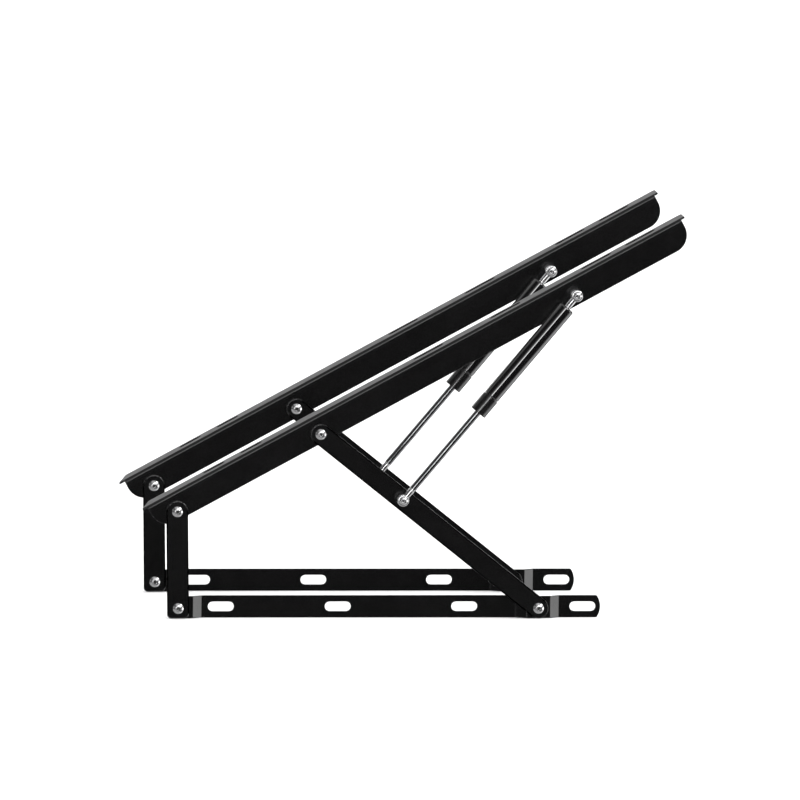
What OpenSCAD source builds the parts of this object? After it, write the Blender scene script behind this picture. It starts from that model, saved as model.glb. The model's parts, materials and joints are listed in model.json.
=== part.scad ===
// Bed lift mechanism: a pair of equal four-bar lifts, each with a gas spring, standing open.
// X runs from the head end to the foot end of the bed, Z is up, and the levers face -Y.
// In each unit the front face of the top rail's web lies at y = 0.

/* [Pair] */
// Distance between the two units
unit_gap = 340; // [120:1:1800]

/* [Linkage] */
// Lower rail, rear pivot to front pivot
base_span = 527; // [510:1:545]
// Rear lever, pivot to pivot
rear_len = 141.5; // [132:0.5:155]
// Front lever, pivot to pivot
front_len = 410; // [396:1:424]
// Top rail, rear pivot to front pivot
rail_span = 237; // [226:1:250]
// Tilt of the top rail with the lift open, in degrees
open_tilt = 28.5; // [20:0.5:31]

/* [Lower rail] */
// Sheet thickness of both rails
rail_t = 3; // [2:0.1:4]
// Height of the lower rail
base_h = 32.5; // [31:0.5:42]
// Height of the pivots above the lower rail's lower edge
base_low = 15; // [15:0.5:20]
// Length of the lower rail behind its rear pivot
base_tail = 15; // [12:0.5:30]
// Length of the lower rail ahead of its front pivot
base_nose = 92; // [90:0.5:110]
// Radius of the bowed front end
base_end_r = 28; // [24:0.5:60]
// Corner radius of the lower rail
base_corner_r = 8; // [2:0.5:10]
// Depth of the joggles that bring the pivots forward
joggle = 10; // [8:0.5:14]
// Length over which a joggle slopes
joggle_run = 14.5; // [12:0.5:18]
// Flat length ahead of the rear pivot
rear_flat = 21.5; // [18:0.5:26]
// Flat length on each side of the front pivot
front_flat = 17; // [16.5:0.5:24]
// Screw slot of the lower rail, length
base_slot_l = 38; // [24:0.5:40]
// Screw slot of the lower rail, width
base_slot_w = 14; // [8:0.5:16]
// Slots ahead of the rear pivot, distance to each centre
rear_slots = [64, 235]; // [60:1:260]
// Outer slot ahead of the front pivot, distance to its centre
nose_slot = 66; // [60:0.5:70]
// Inner slot behind the front pivot, distance to its centre
inner_slot = 107; // [80:1:140]

/* [Top rail] */
// Length of the flange behind the rear pivot
rail_tail = 44; // [38:0.5:60]
// Length of the flange ahead of the front pivot
rail_nose = 616; // [560:1:700]
// Depth of the flange from the web's front face
flange_w = 40; // [36:0.5:50]
// Height of the flange's top above the pivot line
web_rise = 27.5; // [20:0.5:34]
// Depth of the web's lower edge below the pivot line
web_drop = 13; // [12:0.5:20]
// Overhang of the flange past the web at the rear end
web_inset_rear = 9; // [4:0.5:12]
// Overhang of the flange past the web at the front end
web_inset_front = 6; // [2:0.5:12]
// Outer radius of the bend between web and flange
bend_r = 5; // [3:0.5:6]
// Radius of the web's lower corners
web_corner_r = 27; // [12:0.5:30]
// Length of the slanting cut at the flange's rear end
flange_cut = 16; // [4:0.5:24]
// Radius of the flange's front corner
flange_corner_r = 5; // [2:0.5:10]
// Screw slots of the flange, width
flange_slot_w = 12; // [6:0.5:14]
// Short rear slots of the flange, length
short_slot_l = 36; // [24:0.5:44]
// Long slots of the flange, length
long_slot_l = 50; // [30:0.5:56]
// Distance of the slots from the web's front face
flange_slot_y = 26; // [18:0.5:28]
// Short slots, distance of each centre from the rear pivot
short_slots = [78, 140]; // [60:1:180]
// Long slots, distance of each centre from the flange's front end
long_slots = [70, 143, 293, 420]; // [50:1:450]

/* [Levers] */
// Sheet thickness of the levers
lever_t = 4; // [3:0.1:6]
// Width of the rear lever
rear_w = 32; // [26:0.5:36]
// Length of the rear lever below its lower pivot
rear_foot = 14.5; // [12:0.5:15]
// Radius of the rear lever's lower corners
rear_corner_r = 6; // [2:0.5:12]
// Width of the front lever
front_w = 30; // [26:0.5:36]

/* [Pivots] */
// Radius of the rivets' shanks
rivet_r = 5; // [3.5:0.1:6]
// Radius of the rivets' domed heads
rivet_head_r = 7.7; // [7:0.1:10]
// Height of the rivets' domed heads
rivet_head_h = 3.6; // [2:0.1:5]
// Radius of the centre dimple in rivet and pin heads
dimple_r = 2; // [1:0.1:2.5]
// Radius of the closed rivet ends
rivet_tail_r = 7.2; // [6.5:0.1:10]
// Height of the closed rivet ends
rivet_tail_h = 2.6; // [1.5:0.1:4]
// Radius of the spacer washers
washer_r = 10; // [8:0.5:12]
// Thickness of the spacer washers
washer_t = 1.2; // [0.8:0.1:2]

/* [Gas spring] */
// Lower pin, distance from the front lever's upper pivot
gas_low_dist = 153; // [138:1:168]
// Upper pin, distance from the rear pivot along the top rail
gas_top_dist = 660; // [640:1:690]
// Upper pin, height above the pivot line
gas_top_rise = 2.5; // [0:0.5:8]
// Radius of the tube
tube_r = 12; // [9:0.25:14]
// Wall of the tube
tube_wall = 1.5; // [1:0.1:2]
// Length of the tube
tube_len = 199; // [180:1:215]
// Thickness of the tube's closed end
tube_end = 6; // [3:0.5:10]
// Rounding of the tube's closed end
tube_round = 3; // [1:0.25:4]
// Radius of the piston rod
rod_r = 5; // [4:0.25:6]
// Width of the groove rolled into the tube at the sleeve
rolled_w = 2; // [1:0.1:3]
// Depth of the groove rolled into the tube
rolled_depth = 0.8; // [0.4:0.1:1]
// Length of the end sleeve round the tube's mouth
sleeve_len = 29; // [15:0.5:40]
// Wall of the end sleeve
sleeve_wall = 0.6; // [0.6:0.1:2]
// Lip of the end sleeve over the tube's mouth
sleeve_lip = 1.5; // [1:0.1:3]
// Length of the rod guide
guide_len = 14; // [8:0.5:20]
// Length of the rod seal
seal_len = 6; // [3:0.5:8]
// Space between the rod seal and the piston with the lift open
end_space = 6; // [2:0.5:10]
// Length of the piston
piston_len = 12; // [9:0.5:16]
// Width of the piston ring
ring_w = 3; // [2:0.1:4]
// Depth of the piston ring's groove
ring_depth = 1.6; // [1:0.1:2]

/* [Eye ends] */
// Radius of the eyes
eye_r = 8.8; // [8:0.1:12]
// Width of the eyes
eye_w = 10; // [10:0.5:13]
// Chamfer of the eyes
eye_chamfer = 1.2; // [0.5:0.1:2]
// Radius of the eyes' necks
neck_r = 4.8; // [4.5:0.1:4.9]
// Distance from the lower eye's centre to the rod
low_reach = 22; // [18:0.5:30]
// Distance from the upper eye's centre to the tube
top_reach = 22; // [18:0.5:30]
// Radius of the threaded ends in the necks
thread_r = 3.2; // [2.5:0.1:3.4]
// Length of the threaded ends in the necks
thread_len = 8; // [5:0.5:8]
// Radius of the gas spring's pins
pin_r = 4; // [3:0.1:5]
// Radius of the pins' domed heads
pin_head_r = 6; // [5.6:0.1:8]
// Height of the pins' domed heads
pin_head_h = 2.8; // [2:0.1:4]
// Radius of the pins' spacer sleeves
spacer_r = 7; // [6:0.25:9]
// Width of the pins' nuts across flats
nut_flats = 13; // [12:0.5:16]
// Height of the pins' nuts
nut_h = 5; // [3:0.5:8]
// Length of the pins' ends past their nuts
pin_tip = 1.2; // [0.5:0.1:3]

/* [Fits] */
// Radial clearance of what turns or slides
run_clear = 0.05; // [0.02:0.01:0.1]
// Radial clearance of what is pressed or screwed together
seat_clear = 0.02; // [0.01:0.01:0.05]
// Gap between faces that slide past each other
face_gap = 0.2; // [0.1:0.05:0.5]
// Clear space between the levers and the gas spring
gas_gap = 1; // [0.5:0.1:4]
// Clear space round the rod in the sleeve's lip, and round the piston
loose_clear = 0.5; // [0.3:0.1:1]

/* [Hidden] */
$fn = 64;
BLACK = "#191919";
SILVER = "#c8c8c8";
STEEL = "#3a3a3a";
PLASTIC = "#101010";
BRASS = "#b08d4f";
// Height of a rivet head's straight rim
HEAD_RIM = 0.7;
// Depth of the dimple in a rivet or pin head
DIMPLE_DEPTH = 1.2;
// How far a cutting shape runs past the face that it cuts
OVERCUT = 1;

// Point at a distance and an angle, in the side view (x along the bed, y up)
function polar(r, a) = r * [cos(a), sin(a)];

// Pivots of the open linkage in the side view, from the rear lower pivot
rear_low = [0, 0];
front_low = [base_span, 0];
rail_step = polar(rail_span, open_tilt);
lever_reach = front_low - rail_step;
rear_bend = acos((rear_len ^ 2 + lever_reach * lever_reach - front_len ^ 2)
                 / (2 * rear_len * norm(lever_reach)));
rear_angle = atan2(lever_reach.y, lever_reach.x) + rear_bend;
rear_top = polar(rear_len, rear_angle);
front_top = rear_top + rail_step;
front_angle = atan2(front_low.y - front_top.y, front_low.x - front_top.x);
gas_low = front_top + polar(gas_low_dist, front_angle);
gas_top = rear_top + polar(gas_top_dist, open_tilt) + polar(gas_top_rise, open_tilt + 90);
gas_len = norm(gas_low - gas_top);
gas_turn = atan2(gas_low.x - gas_top.x, gas_low.y - gas_top.y);

// Layers of a unit, measured from the web's front face towards the levers
lever_back = washer_t + face_gap;
lever_front = lever_back + lever_t;
rivet_seat = lever_front + face_gap;
sleeve_r = tube_r + seat_clear + sleeve_wall;
gas_layer = lever_front + gas_gap + sleeve_r;
eye_back = gas_layer - eye_w / 2;
eye_front = gas_layer + eye_w / 2;
pin_seat = eye_front + face_gap;

// Stations along the gas spring, from its upper pin
bore_r = tube_r - tube_wall;
tube_mouth = top_reach + tube_len;
sleeve_top = tube_mouth + sleeve_lip - sleeve_len;
rod_end = gas_len - low_reach;
seal_top = tube_mouth - guide_len - seal_len;
piston_low = seal_top - end_space;
piston_top = piston_low - piston_len;
piston_r = bore_r - loose_clear;
groove_r = piston_r - ring_depth;

// Height of the lower rail's middle above the pivots
base_mid = base_h / 2 - base_low;
// Slots of the lower rail, from the rear pivot
base_slots = concat(rear_slots, [base_span - inner_slot, base_span + nose_slot]);
// Slots of the flange as distance from the rear pivot and length
rail_end = rail_span + rail_nose;
flange_slots = concat([for (x = short_slots) [x, short_slot_l]],
                      [for (x = long_slots) [rail_end - x, long_slot_l]]);
rail_pivots = [[0, 0], [rail_span, 0]];

// Plan of the lower rail: place of each bend and the way it slopes there (1 back, -1 forward)
base_bends = [
    [-base_tail, 0, 0],
    [rear_flat, 0, 1],
    [rear_flat + joggle_run, joggle, 1],
    [base_span - front_flat - joggle_run, joggle, -1],
    [base_span - front_flat, 0, -1],
    [base_span + front_flat, 0, 1],
    [base_span + front_flat + joggle_run, joggle, 1],
    [base_span + base_nose, joggle, 0],
];
bend_shift = rail_t * tan(atan2(joggle, joggle_run) / 2);
base_plan = concat(
    [for (b = base_bends) [b.x, b.y]],
    [for (i = [len(base_bends) - 1 : -1 : 0])
        base_bends[i] * [[1, 0], [0, 1], [-bend_shift, 0]] + [0, rail_t]]);

// Limits of the whole pair, which put the origin under its middle
web_corner = [rail_end - web_inset_front - web_corner_r, web_corner_r - web_drop];
web_reach = web_corner * polar(1, -open_tilt) + web_corner_r;
flange_reach = [rail_end, web_rise - rail_t] * polar(1, -open_tilt);
cut_slope = flange_cut / flange_w;
flange_back = [cut_slope * bend_r - rail_tail, web_rise - bend_r] * polar(1, -open_tilt)
    - bend_r * norm([cut_slope * cos(open_tilt), sin(open_tilt)]);
x_min = min(rear_top.x + flange_back, -base_tail, -rear_w / 2);
x_max = max(rear_top.x + max(web_reach, flange_reach), base_span + base_nose);
y_min = -(gas_layer + sleeve_r);
y_max = unit_gap + max(flange_w, joggle + rail_t);
z_min = -max(base_low, front_w / 2, rear_foot);
origin = [(x_min + x_max) / 2, (y_min + y_max) / 2, z_min];

UNITS = ["near", "far"];
PIECES = ["lower_rail", "lower_rivets", "lower_washers", "rear_lever", "rear_top_rivet", "front_lever",
    "gas_low_pin_end", "gas_low_nut", "top_rail", "front_top_rivet", "rear_top_rivet_end", "top_washers",
    "gas_top_pin", "gas_top_spacer", "gas_top_nut", "gas_tube", "gas_sleeve", "gas_guide", "gas_seal",
    "gas_top_eye", "gas_rod", "gas_piston", "gas_piston_ring", "gas_low_eye", "gas_low_pin",
    "gas_low_spacer"];

// Side view frame at a point: x along the bed, y up, z towards the levers' face
module side(p = [0, 0]) {
    translate([p.x, 0, p.y]) rotate([90, 0, 0]) children();
}

// Frame of the top rail, with x along its pivot line
module on_rail() {
    translate([rear_top.x, 0, rear_top.y]) rotate([0, -open_tilt, 0]) children();
}

// Frame of the gas spring, with z from its upper pin towards its lower pin
module on_gas_spring() {
    translate([gas_top.x, -gas_layer, gas_top.y]) rotate([0, gas_turn, 0]) children();
}

// Plate between two layers, in the side view frame
module plate(from, to) {
    translate([0, 0, from]) linear_extrude(to - from) children();
}

// Slot or bar with full-round ends, centred
module slot_2d(length, width) {
    square([length - width, width], center = true);
    for (s = [-1, 1]) translate([s * (length - width) / 2, 0]) circle(d = width);
}

// Rectangle with round corners, from its lower left corner
module round_rect_2d(length, width, r) {
    translate([r, 0]) square([length - 2 * r, width]);
    translate([0, r]) square([length, width - 2 * r]);
    for (x = [r, length - r], y = [r, width - r]) translate([x, y]) circle(r);
}

// Ring between two layers or stations
module ring(outer_r, inner_r, from, to) {
    translate([0, 0, from]) difference() {
        cylinder(r = outer_r, h = to - from);
        translate([0, 0, -OVERCUT]) cylinder(r = inner_r, h = to - from + 2 * OVERCUT);
    }
}

// Domed head with a straight rim, standing on z = 0
module domed_head(r, h) {
    crown = h - HEAD_RIM;
    ball_r = (r ^ 2 + crown ^ 2) / (2 * crown);
    intersection() {
        translate([0, 0, h - ball_r]) sphere(ball_r);
        cylinder(r = r, h = h);
    }
}

// Domed head with a dimple in its middle
module dimpled_head(r, h) {
    difference() {
        domed_head(r, h);
        translate([0, 0, h - DIMPLE_DEPTH]) cylinder(r = dimple_r, h = DIMPLE_DEPTH + OVERCUT);
    }
}

// Front part of a pivot rivet: its head, and its shank down to a layer
module rivet_front(to) {
    translate([0, 0, rivet_seat]) dimpled_head(rivet_head_r, rivet_head_h);
    translate([0, 0, to]) cylinder(r = rivet_r, h = rivet_seat - to);
}

// Rear part of a pivot rivet: its shank from a layer, and the end closed on the rail
module rivet_rear(from) {
    translate([0, 0, -rail_t]) cylinder(r = rivet_r, h = from + rail_t);
    translate([0, 0, -rail_t]) mirror([0, 0, 1]) domed_head(rivet_tail_r, rivet_tail_h);
}

// Whole pivot rivet through a rail and a lever
module rivet() {
    rivet_front(0);
    rivet_rear(0);
}

// Round hole through all layers
module drill(r) {
    depth = joggle + rail_t + lever_front + 2 * OVERCUT;
    translate([0, 0, -joggle - rail_t - OVERCUT]) cylinder(r = r, h = depth);
}

// Slot through all layers
module mill(length, width) {
    plate(-joggle - rail_t - OVERCUT, OVERCUT) slot_2d(length, width);
}

// Hexagon nut on a pin, standing on z = 0
module pin_nut() {
    difference() {
        cylinder(d = nut_flats / cos(30), h = nut_h, $fn = 6);
        translate([0, 0, -OVERCUT]) cylinder(r = pin_r + seat_clear, h = nut_h + 2 * OVERCUT);
    }
}

// Eye with its neck, from the eye's centre along z
module eye_end(reach) {
    half = eye_w / 2;
    difference() {
        union() {
            rotate([90, 0, 0]) rotate_extrude() polygon([
                [0, -half],
                [eye_r - eye_chamfer, -half],
                [eye_r, eye_chamfer - half],
                [eye_r, half - eye_chamfer],
                [eye_r - eye_chamfer, half],
                [0, half],
            ]);
            cylinder(r = neck_r, h = reach);
        }
        rotate([90, 0, 0]) cylinder(r = pin_r + run_clear, h = eye_w + 2 * OVERCUT, center = true);
        translate([0, 0, reach - thread_len]) cylinder(r = thread_r + seat_clear, h = thread_len + OVERCUT);
    }
}

// Outline of the lower rail, with a bowed front end
module base_outline_2d() {
    bow_x = base_span + base_nose - base_end_r;
    intersection() {
        translate([-base_tail, -base_low])
            round_rect_2d(base_tail + base_span + base_nose, base_h, base_corner_r);
        union() {
            translate([-base_tail, -base_low]) square([base_tail + bow_x, base_h]);
            translate([bow_x, base_mid]) circle(base_end_r);
        }
    }
}

// Outline of the top rail's web, with large lower corners
module web_2d() {
    left = web_inset_rear - rail_tail;
    right = rail_end - web_inset_front;
    round_y = web_corner_r - web_drop;
    intersection() {
        translate([left, -web_drop]) square([right - left, web_drop + web_rise]);
        union() {
            translate([left, round_y]) square([right - left, web_drop + web_rise]);
            translate([left + web_corner_r, -web_drop])
                square([right - left - 2 * web_corner_r, web_drop + web_rise]);
            for (x = [left + web_corner_r, right - web_corner_r])
                translate([x, round_y]) circle(web_corner_r);
        }
    }
}

// Plan of the top rail's flange, with a slanting rear end
module flange_2d() {
    inner_x = rail_end - flange_corner_r;
    inner_y = flange_w - flange_corner_r;
    polygon([
        [-rail_tail, 0],
        [rail_end, 0],
        [rail_end, inner_y],
        [inner_x, flange_w],
        [flange_cut - rail_tail, flange_w],
    ]);
    translate([inner_x, inner_y]) circle(flange_corner_r);
}

// What the rounded bend takes off the corner between web and flange
module bend_cut() {
    length = rail_tail + rail_end + 2 * OVERCUT;
    translate([-rail_tail - OVERCUT, bend_r, web_rise - bend_r]) rotate([90, 0, 90])
        linear_extrude(length) difference() {
            translate([-bend_r - OVERCUT, 0]) square(bend_r + OVERCUT);
            circle(bend_r);
        }
}

// Outline of the rear lever, upright, from its lower pivot
module rear_lever_2d() {
    translate([-rear_w / 2, -rear_foot]) round_rect_2d(rear_w, rear_foot + rear_len, rear_corner_r);
    translate([0, rear_len]) circle(d = rear_w);
}

module lower_rail() {
    color(BLACK) difference() {
        intersection() {
            translate([0, 0, -base_low]) linear_extrude(base_h) polygon(base_plan);
            side() plate(-joggle - rail_t - OVERCUT, OVERCUT) base_outline_2d();
        }
        for (p = [rear_low, front_low]) side(p) drill(rivet_r + seat_clear);
        for (x = base_slots) side([x, base_mid]) mill(base_slot_l, base_slot_w);
    }
}

module lower_rivets() {
    color(SILVER) for (p = [rear_low, front_low]) side(p) rivet();
}

module lower_washers() {
    color(PLASTIC) for (p = [rear_low, front_low]) side(p) ring(washer_r, rivet_r + seat_clear, 0, washer_t);
}

module rear_lever() {
    color(BLACK) side(rear_low) rotate([0, 0, rear_angle - 90]) difference() {
        plate(lever_back, lever_front) rear_lever_2d();
        drill(rivet_r + run_clear);
        translate([0, rear_len]) drill(rivet_r + seat_clear);
    }
}

module rear_top_rivet() {
    color(SILVER) side(rear_top) rivet_front(lever_back);
}

module front_lever() {
    color(BLACK) side(front_top) rotate([0, 0, front_angle]) difference() {
        plate(lever_back, lever_front) translate([front_len / 2, 0]) slot_2d(front_len + front_w, front_w);
        for (x = [0, front_len]) translate([x, 0]) drill(rivet_r + run_clear);
        translate([gas_low_dist, 0]) drill(pin_r + seat_clear);
    }
}

module gas_low_pin_end() {
    tip = lever_back - nut_h - pin_tip;
    color(SILVER) side(gas_low) translate([0, 0, tip]) cylinder(r = pin_r, h = lever_front - tip);
}

module gas_low_nut() {
    color(SILVER) side(gas_low) rotate([0, 0, front_angle]) translate([0, 0, lever_back - nut_h]) pin_nut();
}

module top_rail() {
    color(BLACK) on_rail() difference() {
        union() {
            side() plate(-rail_t, 0) web_2d();
            translate([0, 0, web_rise - rail_t]) linear_extrude(rail_t) flange_2d();
        }
        bend_cut();
        for (p = rail_pivots) side(p) drill(rivet_r + seat_clear);
        side([gas_top_dist, gas_top_rise]) drill(pin_r + seat_clear);
        for (s = flange_slots) translate([s[0], flange_slot_y, web_rise - rail_t - OVERCUT])
            linear_extrude(rail_t + 2 * OVERCUT) slot_2d(s[1], flange_slot_w);
    }
}

module front_top_rivet() {
    color(SILVER) side(front_top) rivet();
}

module rear_top_rivet_end() {
    color(SILVER) side(rear_top) rivet_rear(washer_t);
}

module top_washers() {
    color(PLASTIC) for (p = [rear_top, front_top]) side(p) ring(washer_r, rivet_r + seat_clear, 0, washer_t);
}

module gas_top_pin() {
    tip = -rail_t - nut_h - pin_tip;
    color(SILVER) side(gas_top) {
        translate([0, 0, pin_seat]) dimpled_head(pin_head_r, pin_head_h);
        translate([0, 0, tip]) cylinder(r = pin_r, h = pin_seat - tip);
    }
}

module gas_top_spacer() {
    color(SILVER) side(gas_top) ring(spacer_r, pin_r + seat_clear, 0, eye_back - face_gap);
}

module gas_top_nut() {
    color(SILVER) side(gas_top) rotate([0, 0, open_tilt]) translate([0, 0, -rail_t - nut_h]) pin_nut();
}

module gas_tube() {
    color(PLASTIC) on_gas_spring() {
        rotate_extrude() difference() {
            union() {
                translate([0, top_reach + tube_round]) square([tube_r, tube_len - tube_round]);
                translate([0, top_reach]) square([tube_r - tube_round, tube_len]);
                translate([tube_r - tube_round, top_reach + tube_round]) circle(tube_round);
            }
            translate([-OVERCUT, top_reach + tube_end]) square([bore_r + OVERCUT, tube_len]);
            translate([tube_r - rolled_depth, sleeve_top - rolled_w]) square([tube_wall, rolled_w]);
        }
        translate([0, 0, top_reach - thread_len]) cylinder(r = thread_r, h = thread_len + tube_end / 2);
    }
}

module gas_sleeve() {
    color(PLASTIC) on_gas_spring() {
        ring(sleeve_r, tube_r + seat_clear, sleeve_top, tube_mouth);
        ring(sleeve_r, rod_r + loose_clear, tube_mouth, tube_mouth + sleeve_lip);
    }
}

module gas_guide() {
    color(BRASS) on_gas_spring()
        ring(bore_r - seat_clear, rod_r + run_clear, tube_mouth - guide_len, tube_mouth);
}

module gas_seal() {
    color(PLASTIC) on_gas_spring()
        ring(bore_r - seat_clear, rod_r + run_clear, seal_top, tube_mouth - guide_len);
}

module gas_top_eye() {
    color(SILVER) on_gas_spring() eye_end(top_reach);
}

module gas_rod() {
    color(STEEL) on_gas_spring() {
        translate([0, 0, piston_low]) cylinder(r = rod_r, h = rod_end - piston_low);
        translate([0, 0, piston_top]) cylinder(r = thread_r, h = piston_len);
        translate([0, 0, rod_end]) cylinder(r = thread_r, h = thread_len);
    }
}

module gas_piston() {
    groove = (piston_low + piston_top - ring_w) / 2;
    color(BRASS) on_gas_spring() difference() {
        ring(piston_r, thread_r + seat_clear, piston_top, piston_low);
        ring(piston_r + OVERCUT, groove_r, groove, groove + ring_w);
    }
}

module gas_piston_ring() {
    ring_h = ring_w - face_gap;
    start = (piston_low + piston_top - ring_h) / 2;
    color(PLASTIC) on_gas_spring() ring(bore_r - run_clear, groove_r + seat_clear, start, start + ring_h);
}

module gas_low_eye() {
    color(SILVER) on_gas_spring() translate([0, 0, gas_len]) mirror([0, 0, 1]) eye_end(low_reach);
}

module gas_low_pin() {
    foot = lever_front + face_gap;
    color(SILVER) side(gas_low) {
        translate([0, 0, pin_seat]) dimpled_head(pin_head_r, pin_head_h);
        translate([0, 0, foot]) cylinder(r = pin_r, h = pin_seat - foot);
    }
}

module gas_low_spacer() {
    color(SILVER) side(gas_low) ring(spacer_r, pin_r + seat_clear, lever_front + face_gap, eye_back);
}

for (i = [0 : len(UNITS) - 1]) translate([0, i * unit_gap, 0] - origin) {
    unit = UNITS[i];
    lower_rail();
    lower_rivets();
    lower_washers();
    rear_lever();
    rear_top_rivet();
    front_lever();
    gas_low_pin_end();
    gas_low_nut();
    top_rail();
    front_top_rivet();
    rear_top_rivet_end();
    top_washers();
    gas_top_pin();
    gas_top_spacer();
    gas_top_nut();
    gas_tube();
    gas_sleeve();
    gas_guide();
    gas_seal();
    gas_top_eye();
    gas_rod();
    gas_piston();
    gas_piston_ring();
    gas_low_eye();
    gas_low_pin();
    gas_low_spacer();
}
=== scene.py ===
# %% [markdown]
# # A pair of sprung bed lifts
# Each unit is a folding four-bar linkage: a slotted lower rail that is screwed down, two flat levers, a
# flanged top rail that lifts the load and a gas spring that pushes the linkage open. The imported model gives
# the place of every piece and pivot. This script dresses it: sheet parts with rolled rims and true bends,
# turned rivets, pins and eyes, and the finishes that such fittings have.

# %% Load the frame
import json
import math

import bmesh
import bpy
import numpy as np
from mathutils import Matrix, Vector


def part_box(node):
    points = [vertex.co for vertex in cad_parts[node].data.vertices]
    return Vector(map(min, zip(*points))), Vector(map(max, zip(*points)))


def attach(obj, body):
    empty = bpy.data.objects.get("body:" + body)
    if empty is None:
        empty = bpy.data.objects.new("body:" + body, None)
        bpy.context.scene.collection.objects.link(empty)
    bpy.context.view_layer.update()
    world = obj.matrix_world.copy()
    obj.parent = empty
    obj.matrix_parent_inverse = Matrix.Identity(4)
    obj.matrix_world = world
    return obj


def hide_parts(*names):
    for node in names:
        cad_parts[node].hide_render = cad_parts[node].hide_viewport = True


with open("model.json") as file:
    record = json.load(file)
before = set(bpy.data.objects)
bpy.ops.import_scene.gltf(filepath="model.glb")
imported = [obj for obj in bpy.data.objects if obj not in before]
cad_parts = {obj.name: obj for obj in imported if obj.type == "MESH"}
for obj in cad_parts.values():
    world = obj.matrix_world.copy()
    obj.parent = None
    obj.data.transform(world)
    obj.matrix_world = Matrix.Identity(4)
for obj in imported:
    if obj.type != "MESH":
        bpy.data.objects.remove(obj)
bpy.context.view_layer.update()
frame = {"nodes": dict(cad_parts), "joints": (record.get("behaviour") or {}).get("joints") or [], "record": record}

record = frame["record"]
body_of = {node: body for body, nodes in record["behaviour"]["bodies"].items() for node in nodes}
slot_of = {part["node"]: part["material_slot"] for part in record["subparts"]}
joint_of = {joint["name"]: joint for joint in frame["joints"]}

# %% [markdown]
# ## Where things are
# All pieces hang on six points of a unit: the four pivots of the linkage and the two pins of its gas
# spring. They could be typed in as numbers, but read from the frame they follow the model when it changes.
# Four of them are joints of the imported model. The other two are where a rivet and a pin stand. Depth is
# counted from the front face of the rails towards the levers, because the layers are stacked so.

# %% Points and layers
MM = 0.001
TAU = 2 * math.pi
SIDES = ("near", "far")
OUT = np.array([0.0, -1.0, 0.0])
BACK = -OUT
UP = np.array([0.0, 0.0, 1.0])


def unit(rows):
    """Vectors scaled to length one; a vector of no length stays as it is."""
    length = np.linalg.norm(rows, axis=-1, keepdims=True)
    return rows / np.where(length > 0, length, 1)


def read_rows(rows, key, width, kind=np.float32):
    """One property of every row of a mesh, as an array of that width."""
    flat = np.empty(width * len(rows), kind)
    rows.foreach_get(key, flat)
    return flat.reshape(-1, width)


def node_points(node):
    """All vertices of a CAD node as an array, in metres."""
    return read_rows(frame["nodes"][node].data.vertices, "co", 3).astype(float)


def unit_points(side):
    """The six points of a unit at rest, in the plane of the rails' front faces."""
    named = {"rear_low": "rear_swing", "front_low": "lift", "front_top": "rail_fold", "gas_top": "gas_tilt"}
    found = {point: np.array(joint_of[f"{side}_{joint}"]["pos_m"]) for point, joint in named.items()}
    for point, node in (("rear_top", "rear_top_rivet"), ("gas_low", "gas_low_pin")):
        points = node_points(f"{side}_{node}")
        found[point] = (points.min(0) + points.max(0)) / 2
    for point in found.values():
        point[1] = found["rear_low"][1]
    return found


def layers(node, side):
    """Least and greatest depth of a node in front of the rails' faces: its parts along the way out."""
    depth = (node_points(f"{side}_{node}") - at[side]["rear_low"]) @ OUT
    return depth.min(), depth.max()


def link(side, start, end):
    """Length and direction of the line from one point of a unit to another."""
    offset = at[side][end] - at[side][start]
    return np.linalg.norm(offset), unit(offset)


at = {side: unit_points(side) for side in SIDES}
LEVER_BACK, LEVER_FRONT = layers("front_lever", "near")
GAS_LAYER = sum(layers("gas_tube", "near")) / 2
EYE_BACK, EYE_FRONT = layers("gas_top_eye", "near")
WASHER_T = layers("lower_washers", "near")[1]
print(f"levers from {LEVER_BACK / MM:.1f} to {LEVER_FRONT / MM:.1f} mm")
print(f"gas spring at {GAS_LAYER / MM:.1f} mm")

# %% [markdown]
# ## Camera
# The picture was taken from afar: both units are drawn almost equally large. An orthographic camera would
# come close to it, but a photographer has a long lens, so the camera stands far away with one. Its angles
# follow from how the two units are shifted against each other, and the place of one rear pivot in the
# picture then sets where it points.

# %% Camera
AZIMUTH = math.radians(6.208)
ELEVATION = math.radians(6.222)
ROLL = math.radians(0.672)
LENS = 1600.0
SENSOR = 36.0
PICTURE_PIXELS = 800
PIXELS_PER_METRE = 688.0
PIVOT_PIXEL = np.array([177.25, 607.62])
CLIP_DISTANCES = 4


def put(name, data):
    """A new object of the scene that shows the given data."""
    thing = bpy.data.objects.new(name, data)
    bpy.context.scene.collection.objects.link(thing)
    return thing


look = np.array([
    math.cos(ELEVATION) * math.sin(AZIMUTH),
    math.cos(ELEVATION) * math.cos(AZIMUTH),
    -math.sin(ELEVATION),
])
level = np.array([math.cos(AZIMUTH), -math.sin(AZIMUTH), 0.0])
upright = np.cross(level, look)
right = math.cos(ROLL) * level + math.sin(ROLL) * upright
top = math.cos(ROLL) * upright - math.sin(ROLL) * level

middle_pixel = (PICTURE_PIXELS - 1) / 2
across, down = (PIVOT_PIXEL - middle_pixel) / PIXELS_PER_METRE
target = at["near"]["rear_low"] - across * right + down * top
distance = PICTURE_PIXELS / PIXELS_PER_METRE * LENS / SENSOR

camera_data = bpy.data.cameras.new("camera")
camera_data.lens = LENS
camera_data.sensor_width = SENSOR
camera_data.clip_end = CLIP_DISTANCES * distance
camera = put("camera", camera_data)
matrix = np.eye(4)
matrix[:3] = np.column_stack([right, top, -look, target - distance * look])
camera.matrix_world = Matrix(matrix.tolist())
bpy.context.scene.camera = camera
print(f"camera {distance:.1f} m away")

# %% [markdown]
# ## Floor
# A plain pale floor carries the object without drawing the eye. A wide soft lamp overhead lights it, so that
# its shadows stay faint. Both are kept out of mirrored light, which belongs to the studio of the next step.

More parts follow.
